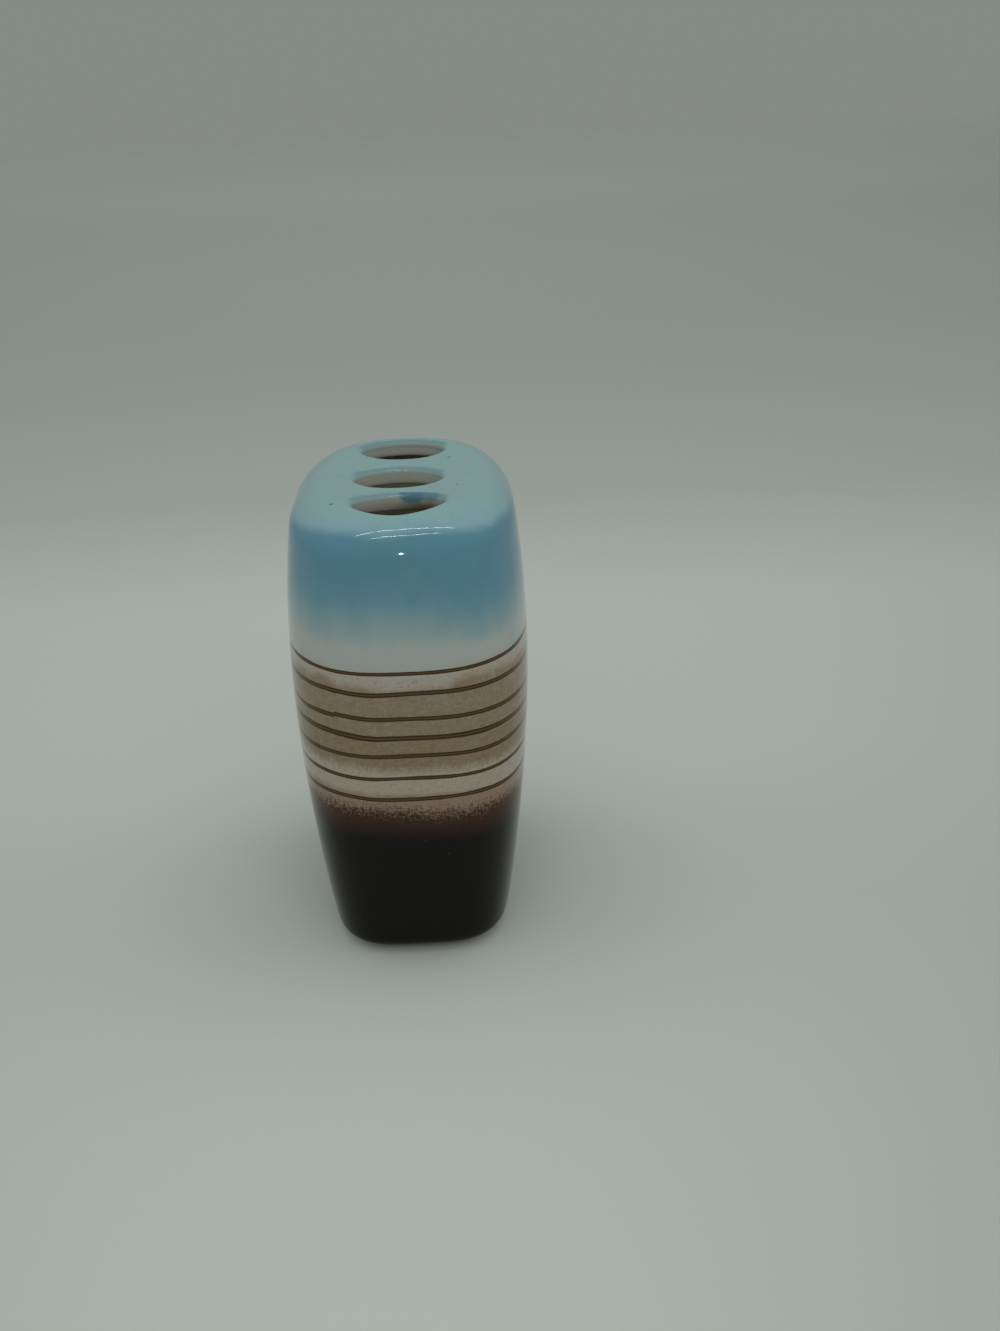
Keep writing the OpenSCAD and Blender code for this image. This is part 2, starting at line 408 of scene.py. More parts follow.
def only(kind, test):
    """Selects the edges or faces that pass a test and nothing else."""
    bpy.ops.mesh.select_mode(type=kind)
    bpy.ops.mesh.select_all(action="DESELECT")
    piece = bpy.context.object
    shape = bmesh.from_edit_mesh(piece.data)
    shape.normal_update()
    chosen = [part for part in (shape.edges if kind == "EDGE" else shape.faces) if test(part)]
    if not chosen:
        raise RuntimeError("nothing to select on " + piece.name)
    for part in chosen:
        part.select_set(True)
    shape.select_flush_mode()
    bmesh.update_edit_mesh(piece.data)


def large_face(height):
    """Test for the large round face at a height."""
    return lambda face: len(face.verts) > 40 and abs(face.calc_center_median().z - height) < TOUCH


def extrude(rise=0.0):
    bpy.ops.mesh.extrude_region_move(TRANSFORM_OT_translate={"value": (0, 0, rise)})


def inset(width, rise=0.0):
    """Insets the selected faces and raises what is inside."""
    bpy.ops.mesh.inset(thickness=width)
    if rise:
        bpy.ops.transform.translate(value=(0, 0, rise))


def narrow(ratio):
    bpy.ops.transform.resize(value=(ratio, ratio, 1))


def merge():
    """Selects all and merges the points that lie in one place."""
    bpy.ops.mesh.select_all(action="SELECT")
    bpy.ops.mesh.remove_doubles(threshold=TOUCH)


def finish_piece(piece, angle):
    """Closed, outward, smooth with sharp edges kept, and placed in its mesh."""
    edit(piece)
    merge()
    bpy.ops.mesh.normals_make_consistent(inside=False)
    gaps = sum(not edge.is_manifold for edge in bmesh.from_edit_mesh(piece.data).edges)
    if gaps:
        raise RuntimeError(f"{piece.name} has {gaps} open edges")
    take(piece)
    settle()
    bpy.ops.object.shade_smooth_by_angle(angle=math.radians(angle))
    for name in ("round", "ring"):
        if name in piece.data.attributes:
            piece.data.attributes.remove(piece.data.attributes[name])
    piece.data.name = piece.name


# Rings of the body: every vertex knows its number round the ring and its ring's number


# Where the numbers of each stretch of rings begin, in the order in which the body is built
CEILING, UNDER_LIP, WALL, LIP, DECK, SHOULDER, SIDE, HEEL = range(0, 800, 100)
FOOT, RECESS, BORE, FLOOR, CORNER, CHAMBER, VAULT = range(800, 1500, 100)
# Rounding of the foot ring's inner edge and of the bore's two ends
EDGE = 0.5 * MM


def lay(place, ring):
    """Puts each selected vertex where place says for its number, and notes its ring."""
    mesh = bpy.context.object.data
    shape = bmesh.from_edit_mesh(mesh)
    layers = shape.verts.layers.int
    for vertex in shape.verts:
        if vertex.select:
            vertex.co = place(vertex[layers["round"]])
            vertex[layers["ring"]] = ring
    bmesh.update_edit_mesh(mesh)


def first_ring(name, count, place, ring):
    """A new ring of edges, open and unfilled, left in edit mode and selected."""
    take()
    bpy.ops.mesh.primitive_circle_add(vertices=count, radius=10 * MM, fill_type="NOTHING")
    piece = bpy.context.object
    piece.name = name
    edit(piece)
    shape = bmesh.from_edit_mesh(piece.data)
    number = shape.verts.layers.int.new("round")
    shape.verts.layers.int.new("ring")
    for i, vertex in enumerate(shape.verts):
        vertex[number] = i
    bmesh.update_edit_mesh(piece.data)
    bpy.ops.mesh.select_all(action="SELECT")
    lay(place, ring)
    return piece


def pull_rings(steps, first, point):
    """Extrudes a ring for each step, with each vertex where point says for step and number."""
    for k, step in enumerate(steps, 1):
        extrude()
        lay(lambda i: point(step, i), first + k)


def even(count):
    """Even shares up to 1."""
    return [k / count for k in range(1, count + 1)]


def rounded(start, end, corner):
    """Points of a rounded turn from start to end, which bulges towards the corner."""
    found = []
    for k in range(4):
        a, b = 1 - math.sin(QUARTER * k / 3), 1 - math.cos(QUARTER * k / 3)
        found.append([c + (s - c) * a + (e - c) * b for s, e, c in zip(start, end, corner)])
    return found


def slot_cell(body, slots, row):
    """One slot with its part of the ceiling, its wall, its rolled lip and its part of the deck."""
    outer, inner = outer_skin(body), chamber_skin(body)
    aside, middle, half_width, half_depth = cut_ovals(slots)[row]
    deck, ceiling = cell_border(outer, slots, row), cell_border(inner, slots, row)
    angles = [math.atan2((y - middle) / half_depth, (x - aside) / half_width) for x, y in deck]

    def oval(i, grow):
        a = angles[i]
        stray = 0.6 * math.sin(2 * a + 1.3 * row) + 0.4 * math.sin(3 * a + 2.1 * row + 0.7)
        grow += slots.waver * stray
        return aside + (half_width + grow) * math.cos(a), middle + (half_depth + grow) * math.sin(a)

    def edge(skin, radius, turn, i):
        """Point on the slot's edge, rounded from its wall to the deck, or below the ceiling."""
        x, y = oval(i, abs(radius) * (1 - math.cos(turn)))
        return x, y, skin.height_at(x, y) - radius * (1 - math.sin(turn))

    def across(skin, border, grow, share, i):
        """Point between the slot's edge and the border of its part."""
        (ax, ay), (bx, by) = oval(i, grow), border[i]
        x, y = ax + (bx - ax) * share, ay + (by - ay) * share
        return x, y, skin.height_at(x, y)

    def over_ceiling(t, i):
        return across(inner, ceiling, slots.under_lip, math.sin(QUARTER * (1 - t)), i)

    def up_wall(t, i):
        low, high = edge(inner, -slots.under_lip, 0, i), edge(outer, slots.lip, 0, i)
        return Vector(low).lerp(Vector(high), t)

    def over_deck(t, i):
        return across(outer, deck, slots.lip, math.sin(QUARTER * t), i)

    piece = first_ring(f"slot_{row}", len(deck), lambda i: over_ceiling(0, i), CEILING)
    pull_rings(even(8), CEILING, over_ceiling)
    under = -slots.under_lip
    pull_rings(even(3), UNDER_LIP, lambda t, i: edge(inner, under, QUARTER * (1 - t), i))
    pull_rings(even(4), WALL, up_wall)
    pull_rings(even(7), LIP, lambda t, i: edge(outer, slots.lip, QUARTER * t, i))
    pull_rings(even(16), DECK, over_deck)
    return piece


def select_deck_edge(piece, skin, bearings):
    """Selects the deck's edge ring and numbers its vertices by the nearest bearing."""
    width, depth, _ = skin.edge
    shape = bmesh.from_edit_mesh(piece.data)
    layers = shape.verts.layers.int
    number, order = layers["round"], layers["ring"]
    last = max(vertex[order] for vertex in shape.verts)
    edge = [vertex for vertex in shape.verts if vertex.is_boundary and vertex[order] == last]
    if len(edge) != len(bearings):
        raise RuntimeError(f"the deck's edge has {len(edge)} points and not {len(bearings)}")
    for vertex in edge:
        vertex.select_set(True)
        bearing = math.atan2(vertex.co.y / depth, vertex.co.x / width)
        turns = [abs(math.remainder(other - bearing, 2 * math.pi)) for other in bearings]
        vertex[number] = turns.index(min(turns))
    shape.select_flush_mode()
    bmesh.update_edit_mesh(piece.data)


def glaze_inside(piece):
    """Gives the chamber, the slot walls and the bore the second material slot."""
    shape = bmesh.from_edit_mesh(piece.data)
    order = shape.verts.layers.int["ring"]
    for face in shape.faces:
        rings = [vertex[order] for vertex in face.verts]
        lowest, highest = min(rings), max(rings)
        joins_ceiling = lowest == CEILING and highest > BORE
        face.material_index = int(highest <= LIP or lowest > BORE or joins_ceiling)
    bmesh.update_edit_mesh(piece.data)


def cast_body(body, slots):
    """The whole casting as one closed skin, pulled from the deck down, under and up inside."""
    outer, inner = outer_skin(body), chamber_skin(body)
    around, within = edge_bearings(outer, slots), edge_bearings(inner, slots)
    take(*[slot_cell(body, slots, row) for row in range(3)])
    bpy.ops.object.join()
    piece = bpy.context.object
    piece.name = "glazed_body"
    edit(piece)
    merge()
    bpy.ops.mesh.select_all(action="DESELECT")
    select_deck_edge(piece, outer, around)

    def outline(skin, bearings, size, i):
        """Point on the outline of the given half width, half depth and height."""
        return (*skin.place(*size, bearings[i]), size[2])

    def side(skin, bearings, z, inset, i):
        return outline(skin, bearings, (*skin.side(z, inset), z), i)

    def corner(skin, bearings, floor, radius, turn, i):
        """Point on the corner at the foot or in the chamber, a quarter turn from floor to side."""
        z, inset = floor + radius * (1 - math.cos(turn)), radius * (1 - math.sin(turn))
        return side(skin, bearings, z, inset, i)

    def shoulder(t, i):
        return outline(outer, around, outer.turned(outer.edge_turn * (1 - t)), i)

    def vault(t, i):
        return outline(inner, within, inner.turned(inner.edge_turn * t), i)

    # Down the outside
    foot, ring, bore, chamber_corner = body.foot, body.ring, body.bore, body.chamber_corner
    high, low = body.height - body.shoulder, foot + body.heel
    pull_rings(even(16), SHOULDER, shoulder)
    pull_rings(even(56), SIDE, lambda t, i: side(outer, around, high + (low - high) * t, 0, i))
    heel = body.heel
    pull_rings(even(7), HEEL, lambda t, i: corner(outer, around, foot, heel, QUARTER * (1 - t), i))

    # Across the foot ring and up into the recess, as insets from the foot and heights
    roof = foot + body.recess
    floor = roof + body.floor
    width, depth = outer.side(foot, heel)
    profile = [(ring * 0.4, foot), (ring * 0.75, foot)]
    profile += rounded((ring - EDGE, foot), (ring, foot + EDGE), (ring, foot))
    profile += rounded((ring, roof - 2 * EDGE), (ring + 2 * EDGE, roof), (ring, roof))

    def foot_ring(step, i):
        inset, z = step
        return outline(outer, around, (width - inset, depth - inset, z), i)

    pull_rings(profile, FOOT, foot_ring)

    # Over the recess to the bore, up the bore and out over the chamber's floor
    rim = bore + EDGE
    recess = width - profile[-1][0], depth - profile[-1][0]
    chamber = inner.side(floor, chamber_corner)

    def to_bore(half_sizes, bearing, share, radius, z):
        """Point at a share of the way from an outline to a circle about the bore."""
        x, y = outer.place(*half_sizes, roof, bearing)
        turn = math.atan2(y, x)
        circle_x, circle_y = radius * math.cos(turn), radius * math.sin(turn)
        return x + (circle_x - x) * share, y + (circle_y - y) * share, z

    def over_floor(t, i):
        bearing = around[i] + math.remainder(within[i] - around[i], 2 * math.pi) * t
        return to_bore(chamber, bearing, 1 - t, rim, floor)

    pull_rings(even(6), RECESS, lambda t, i: to_bore(recess, around[i], t, rim, roof))
    profile = rounded((rim, roof), (bore, roof + EDGE), (bore, roof))[1:]
    profile += rounded((bore, floor - EDGE), (rim, floor), (bore, floor))
    pull_rings(profile, BORE, lambda step, i: to_bore(recess, around[i], 1, *step))
    pull_rings(even(6), FLOOR, over_floor)

    # Up the chamber's side to the ceiling
    low, high = floor + chamber_corner, inner.top - inner.corner
    pull_rings(
        even(7),
        CORNER,
        lambda t, i: corner(inner, within, floor, chamber_corner, QUARTER * t, i),
    )
    pull_rings(even(26), CHAMBER, lambda t, i: side(inner, within, low + (high - low) * t, 0, i))
    pull_rings(even(3), VAULT, vault)
    merge()
    glaze_inside(piece)
    return piece


# Materials


def both(operation):
    """The two methods of an operator, the second with its operands the other way round."""
    return (
        lambda self, other: self.paint.number(operation, self, other),
        lambda self, other: self.paint.number(operation, other, self),
    )


class Value:
    """A number that changes over a surface, so that masks are written as plain sums."""

    def __init__(self, paint, socket):
        self.paint, self.socket = paint, socket

    __add__, __radd__ = both("ADD")
    __sub__, __rsub__ = both("SUBTRACT")
    __mul__, __rmul__ = both("MULTIPLY")
    __truediv__, __rtruediv__ = both("DIVIDE")
    __pow__, __rpow__ = both("POWER")

    def __abs__(self):
        return self.paint.number("ABSOLUTE", self)

    def rise(self, low, high):
        """0 below low, 1 above high, smooth between. With low above high it falls instead."""
        if low > high:
            return 1 - self.rise(high, low)
        inputs = {"Value": self, "From Min": low, "From Max": high}
        return self.paint.node(
            "ShaderNodeMapRange", {"interpolation_type": "SMOOTHSTEP"}, inputs
        )


class Nodes:
    """A node tree that is built up node by node."""

    def __init__(self, owner):
        owner.use_nodes = True
        self.tree = owner.node_tree

    def node(self, kind, settings=None, inputs=None, output=0):
        """Adds a node, sets it up, gives its sockets values or links, returns one output."""
        made = self.tree.nodes.new(kind)
        for key, value in (settings or {}).items():
            if key == "stops":
                self.set_stops(made.color_ramp, value)
            else:
                setattr(made, key, value)
        for key, value in (inputs or {}).items():
            self.give(made.inputs[key], value)
        return Value(self, made.outputs[output])

    def set_stops(self, ramp, stops):
        while len(ramp.elements) < len(stops):
            ramp.elements.new(1.0)
        for element, (place, tint) in zip(ramp.elements, stops):
            element.position = place
            element.color = (*tint, 1.0)

    def give(self, socket, value):
        if isinstance(value, Value):
            self.tree.links.new(value.socket, socket)
        elif socket.type == "RGBA":
            socket.default_value = (*value, 1.0)
        else:
            socket.default_value = value

    def number(self, operation, *values):
        return self.node("ShaderNodeMath", {"operation": operation}, dict(enumerate(values)))

    def chain(self, operation, values):
        """One operation, such as the smallest, over a row of values."""
        return reduce(lambda first, second: self.number(operation, first, second), values)

    def vector(self, operation, *values, output=0):
        inputs = dict(enumerate(values))
        return self.node("ShaderNodeVectorMath", {"operation": operation}, inputs, output)


class Paint(Nodes):
    """One procedural material, painted by place in millimetres of the object's coordinates."""

    def __init__(self, name):
        self.material = bpy.data.materials.new(name)
        super().__init__(self.material)
        self.shader = self.tree.nodes["Principled BSDF"]
        metres = self.node("ShaderNodeTexCoord", output=3)
        self.place = self.vector("MULTIPLY", metres, (1 / MM, 1 / MM, 1 / MM))
        self.x, self.y, self.z = (
            self.node("ShaderNodeSeparateXYZ", None, {0: self.place}, i) for i in range(3)
        )

    def coats(self, ground, *coats):
        """A ground with coats laid over it, each given by its share and its colour."""
        for share, tint in coats:
            inputs = {0: share, 6: ground, 7: tint}
            ground = self.node("ShaderNodeMix", {"data_type": "RGBA"}, inputs, 2)
        return ground

    def graded(self, value, low, high, *stops):
        """Colour graded by a value from low to high, through stops of value and colour."""
        stops = [((at - low) / (high - low), tint) for at, tint in stops]
        share = (value - low) / (high - low)
        return self.node("ShaderNodeValToRGB", {"stops": stops}, {0: share})

    def noise(self, scale, detail, roughness=0.5, stretch=(1, 1, 1), shift=(0, 0, 0)):
        """Noise about zero, over the place stretched and shifted."""
        place = self.vector("MULTIPLY_ADD", self.place, stretch, shift)
        inputs = {"Vector": place, "Scale": scale, "Detail": detail, "Roughness": roughness}
        return self.node("ShaderNodeTexNoise", None, inputs) - 0.5

    def cells(self, scale):
        """Distance to the middle of the nearest cell."""
        return self.node("ShaderNodeTexVoronoi", None, {"Vector": self.place, "Scale": scale})

    def bump(self, height):
        """Normal from a height given in millimetres."""
        inputs = {"Distance": MM, "Height": height}
        self.give(self.shader.inputs["Normal"], self.node("ShaderNodeBump", None, inputs))

    def set(self, **sockets):
        """Gives the shader's sockets their values or links, and returns the material."""
        for name, value in sockets.items():
            self.give(self.shader.inputs[name.replace("_", " ")], value)
        return self.material


# Width of each line as a share of the usual one, and its climb on the left, top line first
LINES = ((0.88, 0), (1.05, 0.7), (1, 1.1), (1.22, 1.2), (1, 0.6), (0.92, 0.6), (1, 0.8))
# Places and sizes of the larger pinholes and specks
SPECKS = (
    ((11.2, 13.4, 104.3), 0.75),
    ((12.7, -15.6, 104.6), 0.6),
    ((-14.6, -28.3, 104.7), 0.7),
    ((9.4, -44.9, 82.9), 0.3),
)
# How strongly the clear glaze bends light
GLAZE_IOR = 1.3


def sprayed_blue(paint, tints, cloud, mottle, drift):
    """Blue sprayed down to a soft, cloudy edge, then the pale glaze and the start of the tan."""
    x, z = paint.x, paint.z
    # The blue reaches lower on the right, the tan higher at the sides
    lower = x.rise(4, 17) * x.rise(26, 20) * z.rise(72, 80) * 3.4
    higher = (x * x).rise(10, 180) * z.rise(75, 71) * 1.8
    ground = paint.graded(
        z + cloud * 4 + drift * 3.5 + (lower - higher),
        60,
        105,
        (66.8, tints.wash),
        (68.6, tints.thin_wash),
        (73.5, tints.pale),
        (77, tints.pale),
        (81.5, tints.haze),
        (87, tints.spray_low),
        (92.5, tints.spray),
    )
    green = (cloud + drift * 0.5).rise(-0.02, 0.2) * z.rise(82, 88)
    return paint.coats(
        ground,
        ((mottle + drift).rise(0.08, 0.4) * 0.25, tints.haze),
        (green * 0.6, tints.spray_green),
    )


def brushed_tan(paint, tints, drift, fine, left):
    """Tan between the lines, brushed thinner under the fifth and the sixth."""
    return paint.graded(
        paint.z + drift * 2.2 + fine * 2 - left * 1.3 + paint.x.rise(8, 20) * 0.8,
        40,
        65,
        (42.3, tints.fringe),
        (43.4, tints.thin_wash),
        (47.9, tints.thin_wash),
        (50.2, tints.deep_wash),
        (56, tints.deep_wash),
        (58, tints.wash),
        (62, tints.wash),
    )


def dark_base(paint, tints, cloud, canvas):
    """Thick brown that breaks up in fine specks over thin brown, down to the dark base."""
    sunk = paint.z + cloud * 2 + paint.x.rise(-20, 20) * 2 - 1

    def brown(rust_top, rust, base_top, base):
        to_rust, to_base = sunk.rise(rust_top, rust), sunk.rise(base_top, base)
        return paint.coats(tints.fringe, (to_rust, tints.rust), (to_base, tints.base))

    warp = paint.noise(3.2, 1, stretch=(1, 1, 0.3))
    weft = paint.noise(3.2, 1, stretch=(0.35, 0.35, 1))
    cover = sunk.rise(43.8, 34.2) + canvas + (warp + weft) * 1.6
    thin, thick = brown(40.4, 34.2, 35.4, 31), brown(43.2, 37.8, 36.5, 30.5)
    return paint.coats(thin, (cover.rise(0.05, 0.95), thick))


def aqua_deck(paint, tints, mottle, top):
    """Aqua of shoulder and deck, with faint tan and blue mottling."""
    return paint.coats(
        tints.shoulder,
        (paint.z.rise(top + 0.5, top + 2.5), tints.deck),
        (mottle.rise(0.04, 0.3) * 0.3, tints.thin_wash),
        (mottle.rise(-0.04, -0.3) * 0.3, tints.spray_low),
    )


def line_ratio(paint, bands, left):
    """Distance from the nearest line's middle, as a share of its half width.

    Each line has its own width, slow waver and climb on the left.
    """
    x, y, z = paint.x, paint.y, paint.z
    ratios = []
    for i, (share, climb) in enumerate(LINES):
        shift = (37 * i, 11 * i, 0)
        waver = paint.noise(0.035, 1, shift=shift) * 1.2 - left * climb
        swell = 1 + paint.noise(0.12, 2, shift=shift) * 0.5
        if i == 0:
            # The top line climbs a little away from the middle of the front
            waver = waver - x * x * 0.0014
        if i == 2:
            # The third line ends a little under its own beginning
            waver = waver + x.rise(-15.9, -16.4) * y.rise(-20, -38) * 0.4
        half = bands.line_width / MM / 2 * share
        ratios.append(abs(z + waver - bands.lines[i] / MM) / (swell * half))
    return paint.chain("MINIMUM", ratios)


def drop_and_painted_shade(paint, depth, grain):
    """Share of the ragged blue drop over the front slot's far lip, and of painted shade beside it.
    """
    x, y = paint.x, paint.y
    drop = ((x - 2.6) / 3.1) ** 2 + ((depth - 1) / 2.5) ** 2 + grain * 1.6
    # Painted shade: the far lip and the wall under it, darker to the right of the drop
    shade_beside_drop = x.rise(-0.6, 1) * x.rise(10.5, 8) * depth.rise(3.2, 1.6) * 0.75
    share = paint.number("MAXIMUM", drop.rise(1.05, 0.45), shade_beside_drop)
    return share * y.rise(-15, -17) * y.rise(-24, -22) * 0.9


def slot_reach(paint, slots):
    """How many millimetres outside the nearest slot's wall a point lies, along the row.

    The slots differ little in length, so that the rear one's stands for all three.
    """
    reaches = []
    for oval in cut_ovals(slots):
        aside, middle, half_width, half_depth = (value / MM for value in oval)
        across = (paint.x - aside) / half_width
        along = (paint.y - middle) / half_depth
        reaches.append((across * across + along * along) ** 0.5)
    return (paint.chain("MINIMUM", reaches) - 1) * half_depth


def lip_coats(paint, body, slots, tints, mottle, grain):
    """Aqua pools bluish on a slot's far lip, and painted shade makes a thin dark line inside the
    near one.
    """
    reach = slot_reach(paint, slots)
    on_deck = paint.z.rise(96, 98)
    half_pitch = slots.pitch / MM / 2
    along = paint.number("WRAP", paint.y + slots.forward / MM, half_pitch, -half_pitch)
    far = along.rise(0.5, 3.5)
    pooled = (reach + mottle * 0.8).rise(1.7, 0.8) * on_deck * far
    edge = (reach + grain * 0.5).rise(0.42, 0.12) * on_deck
    # The blue drop and the painted shade beside it on the front slot's far lip
    drop = drop_and_painted_shade(paint, body.height / MM - paint.z, grain) * (reach + mottle).rise(1.5, 0.8)
    return (
        (pooled * 0.8, tints.pool),
        # Painted shade inside each slot's near lip
        (edge * along.rise(-2.5, -6), tints.near_lip_shade),
        (edge * far * 0.5, tints.inside),
        (drop, tints.drop),
    )


def speck_coats(paint, tints, grain):
    """Pinholes and iron specks, the larger ones by place and fine ones all over."""
    ratios = [paint.vector("DISTANCE", paint.place, spot, output=1) / size for spot, size in SPECKS]
    larger = (paint.chain("MINIMUM", ratios) + grain * 1.4).rise(1, 0.4)
    pepper = paint.cells(0.3).rise(0.1, 0.03) * grain.rise(-0.02, 0.1)
    return (larger * 0.8, tints.speck), (pepper * 0.4, tints.speck)


def banded_glaze(body, slots, bands, tints):
    """Outside: aqua deck, sprayed blue, pale band, seven lines over tan, dark base, wiped foot."""
    paint = Paint("banded_glaze")
    x, z = paint.x, paint.z
    cloud = paint.noise(0.045, 3)
    mottle = paint.noise(0.16, 4, 0.6)
    drift = paint.noise(0.22, 3, stretch=(1, 1, 0.3))
    fine = paint.noise(1.9, 3, 0.7, stretch=(1, 1, 0.5))
    weave = paint.noise(1, 2, 0.6, stretch=(0.6, 0.6, 2.8))
    grain = paint.noise(2.6, 3, 0.7)
    canvas = fine * 0.6 + weave * 0.5
    left = x.rise(-6, -20)
    wash = z.rise(41, 43) * z.rise(73, 70)
    top = bands.spray_top / MM
    run = z + cloud * 3 + mottle * 1.4 + x * x * 0.003
    ratio = line_ratio(paint, bands, left) + grain * 0.45
    line = paint.coats(tints.line_core, (ratio.rise(0.15, 0.6), tints.line))
    bare = (z + mottle * 0.5 + grain * 0.3).rise(1.75, 1.45)
    clay = paint.coats(tints.clay, (grain.rise(-0.1, 0.25) * 0.35, tints.thin_wash))
    ground = paint.coats(
        brushed_tan(paint, tints, drift, fine, left),
        (z.rise(62, 66), sprayed_blue(paint, tints, cloud, mottle, drift)),
        # The brush leaves darker and lighter threads in the tan
        (canvas.rise(0, 0.16) * wash * 0.28, tints.line_core),
        (canvas.rise(0, -0.16) * wash * 0.22, tints.pale),
        (z.rise(42.2, 41.4), dark_base(paint, tints, cloud, canvas)),
        # Aqua runs over the shoulder, and the blue begins under it
        (run.rise(top - 1.5, top + 0.9), aqua_deck(paint, tints, mottle, top)),
        (ratio.rise(1.2, 0.92), line),
        *lip_coats(paint, body, slots, tints, mottle, grain),
        *speck_coats(paint, tints, grain),
        # The foot is wiped bare up to the turn of the heel
        (bare, clay),
    )
    gloss = 0.02 + mottle.rise(-0.2, 0.3) * 0.03
    ripple = cloud * 0.08 + (paint.noise(0.1, 0) + 0.5) * 0.03
    paint.bump(ripple * (1 - bare) + grain * bare * 0.08)
    return paint.set(Base_Color=ground, Roughness=gloss + bare * 0.72, IOR=GLAZE_IOR)


def inner_glaze(body, tints):
    """Inside: clear glaze over the clay, with painted shade in brown down the front slot's wall."""
    paint = Paint("inner_glaze")
    mottle, grain = paint.noise(0.2, 4, 0.6), paint.noise(2.2, 3, 0.7)
    down = body.height / MM - paint.z
    depth = down + mottle * 1.2
    # Painted shade: the front slot's wall turns browner and darker deeper down, most to the right
    # under its far lip
    brown = depth.rise(1.9, 3.8) * paint.y.rise(-15, -17) * (paint.x.rise(-5, 6) * 0.6 + 0.3)
    ground = paint.coats(
        tints.inside,
        (depth.rise(4.6, 5.4), tints.inside_deep),
        ((grain + mottle).rise(0.05, 0.4) * 0.3, tints.deep_wash),
        (brown, tints.line_core),
        (depth.rise(2.2, 1.3) * 0.8, tints.pool),
        # The blue drop and the painted shade beside it, down the front slot's wall
        (drop_and_painted_shade(paint, down, grain), tints.drop),
    )
    gloss = 0.06 + mottle.rise(-0.2, 0.3) * 0.06
    paint.bump(mottle * 0.05 + grain * 0.004)
    return paint.set(Base_Color=ground, Roughness=gloss, IOR=GLAZE_IOR)


def rubber(name, tint, worn, roughness):
    """Matt moulded rubber: fine tooling grain, turned rings and worn or dusty patches."""
    paint = Paint(name)
    patch, grain = paint.noise(0.35, 3, 0.6), paint.noise(6, 3, 0.7)
    radius = (paint.x * paint.x + paint.y * paint.y) ** 0.5
    rings = paint.number("SINE", radius * 9)
    ground = paint.coats(tint, ((patch + grain * 0.5).rise(-0.1, 0.35) * 0.5, worn))
    paint.bump(grain * 0.035 + rings * 0.006)
    return paint.set(Base_Color=ground, Roughness=roughness + patch * 0.15)


# Operators


class HOLDER_OT_cast_body(bpy.types.Operator):
    """Models the cast body with its slots and gives it its glazes"""

    bl_idname = "holder.cast_body"
    bl_label = "Cast Body"
    bl_options = {"REGISTER", "UNDO"}

    def execute(self, context):
        scene = context.scene
        body, slots, tints = scene.holder_body, scene.holder_slots, scene.holder_glazes
        piece = cast_body(body, slots)
        finish_piece(piece, 60)
        piece.data.materials.append(banded_glaze(body, slots, scene.holder_bands, tints))
        piece.data.materials.append(inner_glaze(body, tints))
        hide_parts("ceramic_body")
        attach(piece, "holder")
        return {"FINISHED"}


class HOLDER_OT_stopper(bpy.types.Operator):
    """Models the rubber drain stopper with its pull tab"""

    bl_idname = "holder.stopper"
    bl_label = "Drain Stopper"
    bl_options = {"REGISTER", "UNDO"}

    def execute(self, context):
        scene = context.scene
        tints = scene.holder_rubber
        piece = drain_stopper(scene.holder_body, scene.holder_stopper)
        piece.data.materials.append(
            rubber("stopper_rubber", tints.stopper, tints.stopper_worn, 0.55)
        )
        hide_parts("drain_stopper")
        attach(piece, "stopper")
        return {"FINISHED"}


def drain_stopper(body, sizes):
    """A disc with its front pulled out to a tab, raised to a flange, then neck, nose, hollow."""
    roof = body.foot + body.recess
    low = roof - sizes.thickness
    flange, neck = body.bore + sizes.overhang, body.bore - sizes.clearance
    half = sizes.tab_width / 2
    piece = disc("drain_stopper_rubber", 96, flange, low)

    # The tab's end is a half circle as wide as the tab
    def in_tab(edge):
        return all(abs(v.co.x) <= half + 10 * TOUCH and v.co.y < 0 for v in edge.verts)

    only("EDGE", in_tab)
    extrude()
    shape = bmesh.from_edit_mesh(piece.data)
    front = [vertex for vertex in shape.verts if vertex.select]
    widest = max(abs(vertex.co.x) for vertex in front)
    centre = flange + sizes.tab_reach - half
    for vertex in front:
        side = vertex.co.x / widest
        vertex.co = (half * side, -centre - half * math.cos(math.asin(side)), low)
    bmesh.update_edit_mesh(piece.data)
    bpy.ops.mesh.select_all(action="SELECT")
    extrude(sizes.thickness)

    # Neck and tapered nose with a dimple on top
    dimple, dip = 1.2 * MM, 0.25 * MM
    only("FACE", large_face(roof))
    inset(flange - neck)
    extrude(body.floor)
    extrude(sizes.nose)
    narrow((neck - sizes.taper) / neck)
    inset(dimple)
    inset(dimple, -dip)

    # Below, a step inside a rim, and the hollow in it, which narrows upwards
    rim, slope, step, top_share = 1.5 * MM, 0.5 * MM, 0.35 * MM, 0.94
    only("FACE", large_face(low))
    inset(rim)
    inset(slope, step)
    inset(flange - neck + sizes.core_wall - (rim + slope))
    extrude(roof + body.floor + sizes.nose - sizes.crown - low - step)
    narrow(top_share)

    # Three grip grooves across the pull tab, marked out first and then sunk
    groove, margin, depth, slant = sizes.groove, 1.5 * MM, 0.35 * MM, 0.12 * MM
    starts = [-flange - margin - sizes.groove_pitch * k for k in range(3)]
    for start in starts:
        for y in (start, start - groove):
            only("FACE", lambda face: face.calc_center_median().y < MM - flange)
            bpy.ops.mesh.bisect(plane_co=(0, y, low), plane_no=(0, 1, 0))
    for start in starts:

        def in_groove(face):
            middle = face.calc_center_median()
            below = face.normal.z < -0.9 and abs(middle.z - low) < TOUCH
            return below and start - groove < middle.y < start and abs(middle.x) < half - groove

        only("FACE", in_groove)
        inset(slant, depth)

    # Every sharp edge is eased a little
    take(piece)
    eased = piece.modifiers.new("eased", "BEVEL")
    eased.width, eased.segments = 0.28 * MM, 3
    eased.limit_method, eased.angle_limit = "ANGLE", math.radians(50)
    bpy.ops.object.modifier_apply(modifier="eased")
    finish_piece(piece, 35)
    return piece


